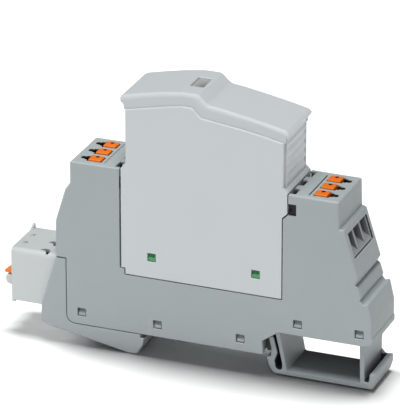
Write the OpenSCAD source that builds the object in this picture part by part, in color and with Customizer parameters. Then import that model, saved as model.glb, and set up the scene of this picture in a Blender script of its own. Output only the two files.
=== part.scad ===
// Pluggable surge protective device for a 35 mm top-hat rail, one module wide.
// Frame: X along the device (wire side to wire side), Y across its width,
// Z away from the rail. The origin is the middle of the rail seat.

/* [Body] */
// Overall width of the base and of the plug, across Y
unit_w = 17.7; // [17.6:0.1:18]
// Wall thickness of the base housing
wall = 1.5; // [1.3:0.1:1.6]
// Height of both terminal blocks above the rail seat
block_top = 46; // [45.6:0.1:46.4]
// Height of the plug bay's floor above the rail seat
bay_floor = 16.3; // [16:0.1:16.4]
// Running gap between the base and what plugs into it
gap = 0.3; // [0.25:0.05:0.35]

/* [Terminals] */
// Distance between neighbouring poles
pitch = 5; // [4.9:0.05:5.1]
// Length of a release button, along X
button_l = 3.5; // [3.2:0.1:3.7]
// Width of a release button, along Y
button_w = 3.2; // [3:0.1:3.3]
// How far a release button stands above its block
button_proud = 0.35; // [0.1:0.05:0.6]
// Width of a wire funnel
funnel_w = 3.9; // [3.6:0.1:3.9]

/* [Snap windows] */
// Side of the square snap windows in the base housing
snap_w = 2.4; // [2.2:0.1:2.6]
// Side of the square snap windows in the plug's covers
plug_snap_w = 2.4; // [2.2:0.1:2.6]

/* [Rail foot] */
// Half width of the rail that the foot clips on to
rail_half = 17.5; // [17.5:0.1:17.6]
// Width of the latch foot, across Y
foot_w = 14; // [13:0.5:14.5]

/* [Plug] */
// Thickness of the plug's side covers
cover_t = 1.3; // [1.1:0.1:1.4]
// Number of grip ribs on each end of the plug
grip_ribs = 5; // [4:1:6]
// Thickness of a contact blade
blade_t = 1; // [0.8:0.1:1]

/* [Signal connector] */
// Distance between the signal connector's poles
sig_pitch = 5.08; // [5:0.04:5.08]
// Width of the signal connector, across Y
sig_w = 15; // [14.6:0.1:15]

/* [Hidden] */

yf = -unit_w / 2;
poles = [unit_w / 2 - pitch, unit_w / 2, unit_w / 2 + pitch];
sig_poles = [unit_w / 2 - sig_pitch, unit_w / 2, unit_w / 2 + sig_pitch];
snap_x = [[-34.2, 3.4], [-12.8, 3.4], [10.3, 3.4], [26, 10.1], [42.8, 10.1]];
plug_snap = [[-14.4, 22.3], [14.4, 22.3]];
blade_x = [-14, 0, 14];
vent_pitch = 5.9;
housing_grey = [0.60, 0.64, 0.65];
plug_grey = [0.74, 0.77, 0.79];

// A corner b between a and c, rounded to radius r in n steps
function unit(v) = v / norm(v);
function corner(a, b, c, r, n) = r <= 0 ? [[b.x, b.y]] :
    let (p0 = [b.x, b.y],
         u = unit([a.x - b.x, a.y - b.y]), v = unit([c.x - b.x, c.y - b.y]),
         ang = acos(u * v), t = r / tan(ang / 2),
         p = p0 + u * t, q = p0 + v * t,
         m = p0 + unit(u + v) * (r / sin(ang / 2)),
         a0 = atan2(p.y - m.y, p.x - m.x), a1 = atan2(q.y - m.y, q.x - m.x),
         d0 = a1 - a0, d = d0 > 180 ? d0 - 360 : d0 < -180 ? d0 + 360 : d0)
    [for (i = [0:n]) m + r * [cos(a0 + d * i / n), sin(a0 + d * i / n)]];
// A closed outline whose points are [x, z] or [x, z, radius]
function rp(p, n = 4) = [for (i = [0:len(p) - 1])
    each corner(p[(i + len(p) - 1) % len(p)], p[i], p[(i + 1) % len(p)],
        len(p[i]) > 2 ? p[i][2] : 0, n)];

// A slice of an X-Z outline from depth d0 to d1 behind the front face
module sl(d0, d1) translate([0, yf + d1, 0]) rotate([90, 0, 0])
    linear_extrude(d1 - d0) children();
module bx(x0, x1, d0, d1, z0, z1) translate([x0, yf + d0, z0])
    cube([x1 - x0, d1 - d0, z1 - z0]);
// What follows, and its mirror image across the X = 0 plane
module both_sides() { children(); mirror([1, 0, 0]) children(); }

// ---------------------------------------------------------------- base housing
module housing_outline() polygon(rp([
    [-38.4, 0, 2.2], [-38.4, 18.4], [-41.4, 18.4], [-41.4, 28.6, 6],
    [-38.6, 37.8, 0.8], [-37.2, 39.8, 0.6], [-37.2, block_top],
    [-23.3, block_top], [-23.3, 18], [-22, 18], [-22, bay_floor],
    [21.8, bay_floor], [21.8, 39], [23.2, 40.3], [23.2, block_top],
    [36.9, block_top], [37.1, 38.5], [38.3, 38.4, 0.6], [42.4, 25.4, 0.5],
    [41.5, 23.6], [42.3, 23.1], [43.2, 20.4], [42.9, 19.5], [43.8, 18.5, 0.3],
    [45, 19.2, 0.4], [46.3, 13.8, 2], [46.3, 9.4], [46.5, 9.2], [46.5, 7.5, 0.5], [44.7, 6.9, 0.4],
    [20.8, 6.9, 0.6], [16.4, 3.8, 0.3], [16.6, 0]]));

module housing_hollow() polygon([
    [-41.4 + wall, -1], [-41.4 + wall, 28.4], [-37.2, 37.2], [-35.7, 39.4], [-35.7, block_top - wall],
    [-23.3 - wall, block_top - wall], [-23.3 - wall, bay_floor - wall],
    [21.8 + wall, bay_floor - wall], [21.8 + wall, 39.6], [23.2 + wall, 40.9],
    [23.2 + wall, block_top - wall], [35.4, block_top - wall], [35.6, 37],
    [37.2, 36.9], [40.8, 25.5], [39.8, 23], [41.6, 20], [41.2, 18.4],
    [43.2, 16.8], [44.3, 15], [45, 13.2], [45, 8.6], [44.2, 8.4], [44.2, 5],
    [22, 5], [18, 2], [18, -1]]);

// One terminal's openings in the top of a block, on the +X side: the button's,
// the gap at its outer end and the round hole that the gap runs into
module terminal_cut(d) {
    bx(29.1, 29.8 + button_l, d - button_w / 2 - 0.3, d + button_w / 2 + 0.3,
        block_top - wall - 1, block_top + 1);
    bx(33, 34.1, d - 1.2, d + 1.2, block_top - wall - 1, block_top + 1);
    bx(34, 34.6, d - 0.75, d + 0.75, block_top - wall - 1, block_top + 1);
    translate([34.6, yf + d, block_top - wall - 1])
        cylinder(d = 1.6, h = wall + 2, $fn = 12);
}

module base_housing() color(housing_grey) difference() {
    sl(0, unit_w) housing_outline();
    sl(wall, unit_w - wall) housing_hollow();
    // terminal openings, writing groove and vent pockets of both blocks
    both_sides() {
        for (d = poles) terminal_cut(d);
        bx(28, 28.35, 1.9, unit_w - 1.9, block_top - 0.5, block_top + 1);
        for (e = [-1, 0, 1]) bx(22, 25, unit_w / 2 + e * vent_pitch - 1.8,
            unit_w / 2 + e * vent_pitch + 1.8, block_top - 5.2, block_top + 1);
    }
    // opening in the bay wall for the coding bar, seen from the front and the back
    bx(22, 25.4, -1, unit_w + 1, 40.3, 43.5);
    // snap windows of the lower edge, front and back
    for (s = snap_x) bx(s.x - snap_w / 2, s.x + snap_w / 2, -1, unit_w + 1,
        s.y - snap_w / 2, s.y + snap_w / 2);
    // slots for the plug's blades and its signal pin in the bay floor
    for (i = [0:2]) bx(blade_x[i] - 1.1, blade_x[i] + 1.1, poles[i] - 2.1,
        poles[i] + 2.1, bay_floor - wall - 1, bay_floor + 1);
    bx(-19.9, -17.5, unit_w / 2 - pitch / 2 - 0.9, unit_w / 2 - pitch / 2 + 0.9,
        bay_floor - wall - 1, bay_floor + 1);
    // wire entries in the slanted ends
    bx_slant(1) bx(-2.5, 3, 1.8, unit_w - 1.8, -7, 0);
    bx_slant(-1) bx(-2.5, 3, 1.8, unit_w - 1.8, -6.2, 0);
}

// Local frame on a slanted end: origin at the upper end of its wire opening,
// X outward from the face and Z up along it
module bx_slant(s) {
    if (s > 0) translate([38.785, 0, 36.82]) rotate([0, -17.4, 0]) children();
    else mirror([1, 0, 0]) translate([38.9, 0, 36.7]) rotate([0, -17, 0]) children();
}

// ---------------------------------------------------------------- coding bar
// Black bar with a keyway, held in the bay wall's opening from front to back
module coding_bar() color([0.09, 0.09, 0.10]) sl(0.5, unit_w - 0.5)
    polygon([[23.4, 40.3], [25.4, 40.3], [25.4, 43.5], [23.4, 43.5], [23.4, 42.5],
        [24.1, 42.4], [24.1, 41.4], [23.4, 41.3]]);

// ---------------------------------------------------------------- wire guides
module wire_guide(s, h) bx_slant(s) difference() {
    bx(-3.4, -0.45, 2, unit_w - 2, -h + 0.2, -0.2);
    for (d = poles) {
        // ramped mouth, then the straight throat
        sl(max(d - funnel_w / 2, 2.3), min(d + funnel_w / 2, unit_w - 2.7))
            polygon([[0, -0.7], [0, -h + 0.6], [-2.6, -h + 3.2], [-2.6, -0.7]]);
        bx(-4, -2, d - 1.5, min(d + 1.5, unit_w - 2.75), -h + 2.9, -0.9);
    }
}
module wire_guide_left() color([0.50, 0.54, 0.55]) wire_guide(-1, 6.2);
module wire_guide_right() color([0.50, 0.54, 0.55]) wire_guide(1, 7);

// ---------------------------------------------------------------- rail foot
// Lower left corner of the body with the fixed hook, full width
module corner_outline() polygon(rp([
    [-38.55, 18.25], [-41.45, 18.25], [-45.8, 3.9, 3], [-45.9, -1.4, 1], [-42.8, -2.1, 2],
    [-21, -6.25, 0.9], [-18.6, -6.2, 1.3], [-17, -3.4, 1.2], [0.9 - rail_half, -1.2, 0.2],
    [-0.2 - rail_half, -1.2], [-0.2 - rail_half, -0.15], [-38.55, -0.15, 2.35]]));

module corner_part() difference() {
    sl(0, unit_w) corner_outline();
    // pocket that takes the signal connector
    bx(-50, -36, unit_w / 2 - sig_w / 2 - gap, unit_w / 2 + sig_w / 2 + gap, 2.7, 19);
}

// Floor that closes the housing from below, inside its walls
module floor_part() {
    sl(wall + 0.1, unit_w - wall - 0.1)
        polygon([[-39.6, -0.4], [-39.6, 1.6], [14, 1.6], [18.4, 8.5], [43.9, 8.5],
            [43.9, 7.2], [20.6, 7.2], [16.1, 4.2], [16.1, 0], [-16.4, 0], [-16.4, 0.3],
            [-17.7, 0.3], [-17.7, -0.4]]);
    // sill behind the connector pocket and the ribs that carry the lugs
    bx(-38.4, -36.2, wall + 0.1, unit_w - wall - 0.1, 0, 2.7);
    for (s = snap_x, e = [0, 1]) {
        d = e == 0 ? wall + 0.1 : unit_w - wall - 0.75;
        bx(s.x - 1.3, s.x + 1.3, d, d + 0.65, s.y - 2.3, s.y + 2);
    }
    for (s = snap_x, e = [0, 1]) mirror([0, e, 0]) lug(s.x, s.y, snap_w - 0.5, wall);
}

// A snap lug on the front face of a rib: flat underside, ramped top
module lug(x, z, l, t) translate([x - l / 2, yf, z - l / 2]) rotate([90, 0, 90])
    linear_extrude(l) polygon([[t + 0.2, 0], [0.35, 0], [0.35, 0.8], [t + 0.2, l]]);

// Latch foot: sprung leg with the rail nose, frame, and lip for a screwdriver
module latch_outline() polygon(rp([
    [17.5, 4.2, 0.4], [18.2, 1.4, 0.6], [rail_half + 0.6, -1.05, 0.1], [rail_half - 0.6, -1.25, 0.15],
    [17.6, -3.8, 0.8], [18.9, -5.75, 1.4], [46.1, -5.8, 0.9], [46.9, -3, 0.4],
    [46.8, -1.2, 0.35], [45.2, -1.5, 0.4], [45, -4, 0.6], [43.8, -4, 0.5],
    [43.7, 2, 1.5], [44.1, 7.4], [18.9, 7.4], [20.2, 2, 0.6], [21.2, -2.6, 1],
    [21.2, -4.7, 0.8], [19.5, -4.6, 0.9], [19.1, -2.2, 0.5], [19.9, 0.2, 0.6],
    [18.7, 4.9, 0.4]]));
module latch_window() polygon(rp([[20.3, 7], [22.6, -4.6, 0.6], [42.7, -4.6, 0.3],
    [42.4, 7]]));

module latch_part() {
    d0 = (unit_w - foot_w) / 2;
    sl(d0, d0 + foot_w) difference() { latch_outline(); latch_window(); }
    // web that closes the screwdriver slot at the back
    sl(d0 + foot_w - 1.2, d0 + foot_w) polygon([[43.3, -4.4], [45.4, -4.4],
        [45.6, -1.6], [44.6, -1.4], [43.3, 0.2]]);
    // short wall beside the nose that closes the gap to the housing's corner
    bx(16.8, 18.3, d0 + 1, d0 + 3, 0.1, 4);
}

module base_foot() color(housing_grey) {
    union() { corner_part(); floor_part(); latch_part(); }
}

// ---------------------------------------------------------------- conductors
// Flat bar under the bay that joins one pole's two clamps
module busbar(i) {
    d = poles[i];
    bx(-27.2, 27.2, d - 1.5, d + 1.5, 9, 10);
    both_sides() {
        bx(26.2, 27.2, d - 1.5, d + 1.5, 9, 34);
        difference() {
            bx(26.2, 35.8, d - 2.15, d + 2.15, 33, 34);
            bx(28.6, 33.7, d - 1.75, d + 1.75, 32, 35);
        }
    }
}
module busbar_line() color([0.80, 0.52, 0.34]) busbar(0);
module busbar_neutral() color([0.80, 0.52, 0.34]) busbar(1);
module busbar_earth() color([0.80, 0.52, 0.34]) busbar(2);

// Spring fork that stands on a bar and takes a blade
module socket(i) {
    d = poles[i];
    x = blade_x[i];
    for (e = [0, 1]) translate([x, 0, 0]) mirror([e, 0, 0])
        sl(d - 1.5, d + 1.5) polygon([[0.2, 10], [0.2, 10.5], [1.1, 10.5],
            [0.85, 13], [1.3, 14.3], [1.6, 14.2], [1.25, 13], [1.5, 10]]);
    bx(x - 0.3, x + 0.3, d - 1.5, d + 1.5, 10, 10.5);
}
module socket_line() color([0.85, 0.83, 0.72]) socket(0);
module socket_neutral() color([0.85, 0.83, 0.72]) socket(1);
module socket_earth() color([0.85, 0.83, 0.72]) socket(2);

// Leaf spring that presses the wire up against the bar
module clamp_spring(i, s) {
    d = poles[i];
    mirror([s < 0 ? 1 : 0, 0, 0]) sl(d - 1.5, d + 1.5) polygon(rp([
        [27.6, 25.6], [35.9, 25.6, 1.2], [36.6, 27.4, 1], [34.4, 32.4, 0.4], [30.2, 31.6],
        [30.3, 31.2], [34.1, 31.9, 0.3], [36, 27.3, 0.6], [35.6, 26, 0.5], [27.6, 26]]));
}
module clamp_spring_left_1() color([0.70, 0.71, 0.72]) clamp_spring(0, -1);
module clamp_spring_left_2() color([0.70, 0.71, 0.72]) clamp_spring(1, -1);
module clamp_spring_left_3() color([0.70, 0.71, 0.72]) clamp_spring(2, -1);
module clamp_spring_right_1() color([0.70, 0.71, 0.72]) clamp_spring(0, 1);
module clamp_spring_right_2() color([0.70, 0.71, 0.72]) clamp_spring(1, 1);
module clamp_spring_right_3() color([0.70, 0.71, 0.72]) clamp_spring(2, 1);

// ---------------------------------------------------------------- buttons
module button(i, s) {
    d = poles[i];
    mirror([s < 0 ? 1 : 0, 0, 0]) difference() {
        union() {
            bx(29.35, 29.35 + button_l, d - button_w / 2, d + button_w / 2, 41,
                block_top + button_proud);
            bx(28.5, 32.85, d - 1.4, d + 1.4, 42.8, block_top - wall - gap);
            sl(d - 1.4, d + 1.4) polygon([[29.4, 41], [32.5, 41], [32.5, 36],
                [31.6, 32.1], [30.6, 32], [29.4, 36]]);
        }
        translate([31.1, yf + d + 0.8, block_top + button_proud - 1.2])
            cylinder(d = 1.05, h = 2, $fn = 8);
    }
}
module button_left_1() color([0.94, 0.47, 0.09]) button(0, -1);
module button_left_2() color([0.94, 0.47, 0.09]) button(1, -1);
module button_left_3() color([0.94, 0.47, 0.09]) button(2, -1);
module button_right_1() color([0.94, 0.47, 0.09]) button(0, 1);
module button_right_2() color([0.94, 0.47, 0.09]) button(1, 1);
module button_right_3() color([0.94, 0.47, 0.09]) button(2, 1);

// ---------------------------------------------------------------- signal contact
module signal_header() color([0.16, 0.17, 0.18]) difference() {
    bx(-37.8, -36.2, wall + 0.3, unit_w - wall - 0.3, 2.7, 17.6);
    for (d = sig_poles) bx(-39, -35, d - 0.5, d + 0.5, 9.5, 10.5);
}
module signal_pins() color([0.82, 0.82, 0.80])
    for (d = sig_poles) {
        bx(-44.5, -33.6, d - 0.5, d + 0.5, 9.5, 10.5);
        bx(-34.6, -33.6, d - 0.5, d + 0.5, 5.4, 9.5);
    }
module signal_board() color([0.10, 0.36, 0.22])
    bx(-35.9, -15.5, 2.8, unit_w - 2.8, 3.8, 5.4);
module signal_switch() color([0.15, 0.15, 0.16]) {
    c = unit_w / 2 - pitch / 2;
    bx(-25, -16, c - 2.4, c + 2.4, 5.4, 8.2);
    bx(-19.3, -18.1, c - 0.5, c + 0.5, 8.2, 8.5);
}

// Three-pole plug-in connector on the left end
module connector_housing() color([0.80, 0.82, 0.82]) {
    c = unit_w / 2;
    d0 = c - sig_w / 2;
    d1 = c + sig_w / 2;
    difference() {
        union() {
            translate([-54.8, yf, 0]) rotate([90, 0, 90]) linear_extrude(16)
                polygon([[d0, 3], [d1, 3], [d1, 18.1], [d0 + 1.2, 18.1], [d0, 16.9]]);
            // rim at the outer end, with a raised corner at the back
            bx(-54.8, -54, d0, d1, 2.5, 16.8);
            translate([-54.8, yf, 0]) rotate([90, 0, 90]) linear_extrude(0.65)
                polygon([[d1 - 3, 17.7], [d1, 17.7], [d1, 19.15], [d1 - 0.5, 19.15]]);
            // nose below each lever
            for (d = sig_poles) sl(d - 1.7, d + 1.7) polygon(rp([[-54.6, 9.8],
                [-56.7, 9.8, 0.6], [-56.9, 8.8, 0.6], [-56.5, 7.4, 0.8], [-54.6, 6.8]]));
        }
        for (d = sig_poles) {
            // pin hole, lever shaft, wire entry
            bx(-47, -38, d - 1.3, d + 1.3, 8.7, 11.3);
            bx(-56, -50.6, d - 1.9, d + 1.9, 9.9, 12.7);
            bx(-56, -50, d - 1.5, d + 1.5, 13.6, 16.8);
            bx(-50.2, -47.4, d - 1.5, d + 1.5, 12, 16.8);
            // round recess on the top and the small one near the rim
            translate([-45.3, yf + d - 0.8, 14]) cylinder(d = 2.4, h = 6, $fn = 12);
            bx(-52, -50.9, d - 1, d + 0.3, 17.4, 19);
        }
    }
}
module connector_contacts() color([0.84, 0.80, 0.62])
    for (d = sig_poles) difference() {
        bx(-46.9, -39.6, d - 1.2, d + 1.2, 8.8, 11.2);
        bx(-47.5, -39, d - 0.85, d + 0.85, 9.15, 10.85);
    }
// Leaf spring that clamps one signal wire
module connector_spring(i) {
    d = sig_poles[i];
    sl(d - 1.2, d + 1.2) polygon([[-50, 12.2], [-47.6, 12.2], [-47.6, 12.5],
        [-49.6, 12.5], [-48.2, 16.2], [-48.5, 16.3], [-50, 12.6]]);
}
module connector_spring_1() color([0.70, 0.71, 0.72]) connector_spring(0);
module connector_spring_2() color([0.70, 0.71, 0.72]) connector_spring(1);
module connector_spring_3() color([0.70, 0.71, 0.72]) connector_spring(2);
module connector_lever(i) {
    d = sig_poles[i];
    sl(d - 1.55, d + 1.55) polygon(rp([[-54.9, 12.3], [-51.9, 12.3], [-51.9, 10.2],
        [-57.2, 10.2, 0.3], [-57.3, 10.8, 0.3]]));
}
module connector_lever_1() color([0.94, 0.47, 0.09]) connector_lever(0);
module connector_lever_2() color([0.94, 0.47, 0.09]) connector_lever(1);
module connector_lever_3() color([0.94, 0.47, 0.09]) connector_lever(2);

// ---------------------------------------------------------------- plug
// Cap outline: crest on the left, step in the middle, fall to the right
cap_top = [[-23.1, 65.9, 0.5], [-21.9, 66.6, 1], [-17.5, 67.6], [-11.6, 68.8], [-6, 69.6, 3],
    [-1.6, 69.6, 1.6], [1.2, 67.1, 1.5], [5.1, 66.6], [10.8, 65.6], [16.6, 64.5],
    [22.4, 63.2, 0.8], [23.2, 62.4, 0.4]];
cap_line = [[-21.9, 62.6], [-17.5, 63.6], [-10.8, 65], [-6, 65.9, 2], [-3, 65.8, 1.4], [-0.7, 63.4, 1],
    [2.8, 62.9], [10.6, 61.9], [16.6, 60.9], [22.1, 59.7]];

module frame_outline() polygon(rp(concat(cap_top, [[22.9, 61.6, 0.4], [22.1, 60.8],
    [22.1, 46.9], [22.9, 46.1, 0.3], [22.9, 40.55], [21.5, 39.25],
    [21.5, bay_floor + gap], [-21.7, bay_floor + gap], [-21.7, 18.3], [-23, 18.3],
    [-23, 46.6, 0.3], [-22, 47.4], [-22, 64], [-22.9, 64.8, 0.4]])));
module frame_hollow() polygon([[-20.2, 10], [-20.2, 62.2], [-10.8, 64.6],
    [-6, 65.4], [-3.2, 65.2], [-0.9, 62.8], [10.6, 61.2], [20, 59.4], [20, 10]]);
module cover_outline() polygon(rp(concat(
    [[-21.5, 62.69]], [for (i = [1:len(cap_line) - 2]) cap_line[i]],
    [[21.7, 59.79], [21.7, 47.3], [22.9, 46.1, 0.3], [22.9, 40.55], [21.5, 39.25],
    [21.5, bay_floor + gap], [-21.7, bay_floor + gap], [-21.7, 18.3], [-23, 18.3],
    [-23, 46.3, 0.4], [-21.5, 47.6]])));

module plug_frame() color(plug_grey) difference() {
    sl(0, unit_w) frame_outline();
    // seats of the two side covers
    for (e = [0, 1]) mirror([0, e, 0]) sl(-1, cover_t) polygon(rp(concat(
        [[-24, 62]], cap_line, [[24, 59.3], [24, 10], [-24, 10]])));
    sl(cover_t - 0.5, unit_w - cover_t + 0.5) frame_hollow();
    // window for the status lens
    bx(-5.8, -2.2, 5.6, 12, 64, 72);
    // shallow valleys between the grip ribs of both ends, and upright grooves beside them
    for (i = [1:grip_ribs - 1], e = [0, 1]) mirror([e, 0, 0])
        translate([0, 0, 47.1 + i * 12.75 / grip_ribs]) sl(cover_t + 0.7, unit_w - cover_t - 0.7)
            polygon([[21.94, 0], [22.4, -1.6], [22.4, 1.6]]);
    for (e = [0, 1], k = [0, 1]) mirror([0, k, 0]) mirror([e, 0, 0])
        bx(21.4, 24, cover_t, cover_t + 0.4, 46.9, 60.4);
    // room for the carrier's own edge
    bx(-24, 24, cover_t, unit_w - cover_t, 10, bay_floor + gap + 2.4);
}

module plug_cover(front) mirror([0, front ? 0 : 1, 0]) difference() {
    sl(0, cover_t) cover_outline();
    for (s = plug_snap) bx(s.x - plug_snap_w / 2, s.x + plug_snap_w / 2, -1, 3,
        s.y - plug_snap_w / 2, s.y + plug_snap_w / 2);
}
module plug_cover_front() color(plug_grey) plug_cover(true);
module plug_cover_rear() color(plug_grey) plug_cover(false);

module plug_carrier() color([0.27, 0.58, 0.36]) {
    difference() {
        union() {
            bx(-21, 21, cover_t + 0.05, unit_w - cover_t - 0.05, bay_floor + gap, bay_floor + gap + 2.2);
            for (s = plug_snap, e = [0, 1]) mirror([0, e, 0])
                bx(s.x - 2.2, s.x + 2.2, cover_t + 0.05, cover_t + 1.25,
                    bay_floor + gap, 25);
            // pin that reaches the signal switch
            bx(-19.6, -17.8, unit_w / 2 - pitch / 2 - 0.6, unit_w / 2 - pitch / 2 + 0.6,
                8.9, 18);
        }
        for (i = [0:2]) bx(blade_x[i] - blade_t / 2, blade_x[i] + blade_t / 2,
            poles[i] - 1.5, poles[i] + 1.5, 10, 30);
    }
    for (s = plug_snap, e = [0, 1]) mirror([0, e, 0])
        lug(s.x, s.y, plug_snap_w - 0.4, cover_t);
}

module blade(i) {
    a = blade_x[i] - blade_t / 2;
    bx(a, a + blade_t, poles[i] - 1.5, poles[i] + 1.5, 11, i == 1 ? 24.6 : 25.8);
    // tab that is soldered to the board
    if (i == 0) bx(a, a + blade_t, poles[i] - 1.5, 8.1, 24.6, 25.8);
    if (i == 2) bx(a, a + blade_t, 9.6, poles[i] + 1.5, 24.6, 25.8);
}
module blade_line() color([0.85, 0.85, 0.84]) blade(0);
module blade_neutral() color([0.85, 0.85, 0.84]) blade(1);
module blade_earth() color([0.85, 0.85, 0.84]) blade(2);

module plug_board() color([0.10, 0.36, 0.22]) bx(-19.4, 19.4, 8.1, 9.6, 24.6, 56);
// Coated disc with its two leads soldered into the board
module varistor(x, z) {
    translate([x, yf + 7.6, z]) rotate([90, 0, 0]) cylinder(r = 6, h = 4.6, $fn = 48);
    bx(x - 3, x - 2.2, 7.6, 8.1, z - 3, z + 3);
    bx(x + 2.2, x + 3, 7.6, 8.1, z - 3, z + 3);
}
module varistor_1() color([0.16, 0.32, 0.60]) varistor(-12.4, 48.6);
module varistor_2() color([0.16, 0.32, 0.60]) varistor(0.4, 48.6);
module varistor_3() color([0.16, 0.32, 0.60]) varistor(13, 48.6);
module gas_tube() color([0.86, 0.84, 0.80]) {
    translate([-4, yf + 12.8, 38]) rotate([0, 90, 0]) cylinder(r = 3.1, h = 8, $fn = 40);
    bx(-4, -3, 9.6, 11, 37.5, 38.5);
    bx(3, 4, 9.6, 11, 37.5, 38.5);
}

module status_lens() color([0.62, 0.63, 0.60]) union() {
    bx(-5.75, -2.25, 5.65, 11.95, 66.1, 68.9);
}
// Slider of the thermal disconnector, with the flag under the lens
module trip_slider() color([0.80, 0.80, 0.78]) {
    bx(-5.4, -2.6, 9.9, 11.1, 56.4, 64.5);
    bx(-5.4, -2.6, 9.9, 12, 56.4, 58.4);
}
module trip_spring() color([0.70, 0.71, 0.72]) difference() {
    translate([-2.55, yf + 10.9, 57.4]) rotate([0, 90, 0]) cylinder(r = 1, h = 4.8, $fn = 24);
    translate([-3, yf + 10.9, 57.4]) rotate([0, 90, 0]) cylinder(r = 0.6, h = 6, $fn = 24);
}

base_housing();
base_foot();
coding_bar();
wire_guide_left();
wire_guide_right();
busbar_line();
busbar_neutral();
busbar_earth();
socket_line();
socket_neutral();
socket_earth();
clamp_spring_left_1();
clamp_spring_left_2();
clamp_spring_left_3();
clamp_spring_right_1();
clamp_spring_right_2();
clamp_spring_right_3();
signal_header();
signal_pins();
signal_board();
signal_switch();
button_left_1();
button_left_2();
button_left_3();
button_right_1();
button_right_2();
button_right_3();
connector_housing();
connector_contacts();
connector_spring_1();
connector_spring_2();
connector_spring_3();
connector_lever_1();
connector_lever_2();
connector_lever_3();
plug_frame();
plug_cover_front();
plug_cover_rear();
plug_carrier();
plug_board();
varistor_1();
varistor_2();
varistor_3();
gas_tube();
blade_line();
blade_neutral();
blade_earth();
status_lens();
trip_slider();
trip_spring();
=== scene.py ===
import math

import bmesh
import bpy
from mathutils import Matrix, Vector


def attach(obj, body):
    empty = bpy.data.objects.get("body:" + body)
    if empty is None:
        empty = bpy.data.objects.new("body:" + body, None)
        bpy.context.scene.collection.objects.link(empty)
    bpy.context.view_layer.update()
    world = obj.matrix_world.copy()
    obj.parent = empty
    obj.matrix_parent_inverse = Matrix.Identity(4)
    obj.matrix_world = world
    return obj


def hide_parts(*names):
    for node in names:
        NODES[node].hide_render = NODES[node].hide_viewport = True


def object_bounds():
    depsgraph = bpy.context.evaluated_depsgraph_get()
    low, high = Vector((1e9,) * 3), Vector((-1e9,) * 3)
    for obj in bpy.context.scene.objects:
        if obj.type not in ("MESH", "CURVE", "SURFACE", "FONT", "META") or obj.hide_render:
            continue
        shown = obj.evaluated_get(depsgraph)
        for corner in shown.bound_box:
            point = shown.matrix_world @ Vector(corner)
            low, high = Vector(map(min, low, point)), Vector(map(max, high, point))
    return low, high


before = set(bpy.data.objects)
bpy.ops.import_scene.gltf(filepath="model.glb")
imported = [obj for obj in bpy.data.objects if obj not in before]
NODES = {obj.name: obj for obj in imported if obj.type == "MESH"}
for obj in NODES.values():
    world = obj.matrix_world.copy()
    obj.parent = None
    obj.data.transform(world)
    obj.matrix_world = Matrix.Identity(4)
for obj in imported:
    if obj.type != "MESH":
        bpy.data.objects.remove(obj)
cad_lo, cad_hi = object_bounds()
scene = bpy.context.scene

# Everything below is in millimetres until a vertex is written. d is the depth behind the front face.
MM = 0.001
W = 17.7
YF = -W / 2
WALL = 1.5
TOP = 46.0
FLOOR = 16.3
GAP = 0.3
COVER = 1.3
POLES = [W / 2 - 5, W / 2, W / 2 + 5]
SIG = [W / 2 - 5.08, W / 2, W / 2 + 5.08]


# ------------------------------------------------------------------ meshes
def unit(x, z):
    l = math.hypot(x, z)
    return (x / l, z / l) if l > 1e-12 else (0.0, 0.0)


def round_corner(a, b, c, r, n):
    """n + 1 points that round corner b, which lies between a and c, to radius r."""
    u, v = unit(a[0] - b[0], a[1] - b[1]), unit(c[0] - b[0], c[1] - b[1])
    ang = math.acos(max(-1.0, min(1.0, u[0] * v[0] + u[1] * v[1])))
    if ang > math.pi - 1e-3 or r <= 0:
        return [b] * (n + 1)
    t = r / math.tan(ang / 2)
    p, q = (b[0] + u[0] * t, b[1] + u[1] * t), (b[0] + v[0] * t, b[1] + v[1] * t)
    w = unit(u[0] + v[0], u[1] + v[1])
    m = (b[0] + w[0] * r / math.sin(ang / 2), b[1] + w[1] * r / math.sin(ang / 2))
    a0, a1 = math.atan2(p[1] - m[1], p[0] - m[0]), math.atan2(q[1] - m[1], q[0] - m[0])
    d = a1 - a0
    d = d - 2 * math.pi if d > math.pi else d + 2 * math.pi if d < -math.pi else d
    return [(m[0] + r * math.cos(a0 + d * i / n), m[1] + r * math.sin(a0 + d * i / n)) for i in range(n + 1)]


def inset(keys, k, n):
    """The outline of keys (x, z, corner radius, edge radius), with each edge moved in by k times its edge radius."""
    c = len(keys)
    area = sum(keys[i][0] * keys[(i + 1) % c][1] - keys[(i + 1) % c][0] * keys[i][1] for i in range(c))
    s = 1 if area > 0 else -1
    moved, radius, mean = [], [], []
    for i in range(c):
        a, b, e = keys[i - 1], keys[i], keys[(i + 1) % c]
        d1, d2 = unit(b[0] - a[0], b[1] - a[1]), unit(e[0] - b[0], e[1] - b[1])
        t1, t2 = a[3] * k, b[3] * k
        n1, n2 = (-d1[1] * s, d1[0] * s), (-d2[1] * s, d2[0] * s)
        cross = d1[0] * d2[1] - d1[1] * d2[0]
        if abs(cross) < 0.02:
            t = (t1 + t2) / 2
            moved.append((b[0] + n1[0] * t, b[1] + n1[1] * t))
        else:
            p1, p2 = (b[0] + n1[0] * t1, b[1] + n1[1] * t1), (b[0] + n2[0] * t2, b[1] + n2[1] * t2)
            f = ((p2[0] - p1[0]) * d2[1] - (p2[1] - p1[1]) * d2[0]) / cross
            moved.append((p1[0] + d1[0] * f, p1[1] + d1[1] * f))
        mean.append((a[3] + b[3]) / 2)
        t = (t1 + t2) / 2
        radius.append(0 if b[2] <= 0 else max(0.01, b[2] - t) if cross * s > 0 else b[2] + t)
    out = []
    for i in range(c):
        m = n if keys[i][2] > 0 else 0
        pts = round_corner(moved[i - 1], moved[i], moved[(i + 1) % c], radius[i], m) if m else [moved[i]]
        out += [(x, z, mean[i]) for x, z in pts]
    return out


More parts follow.
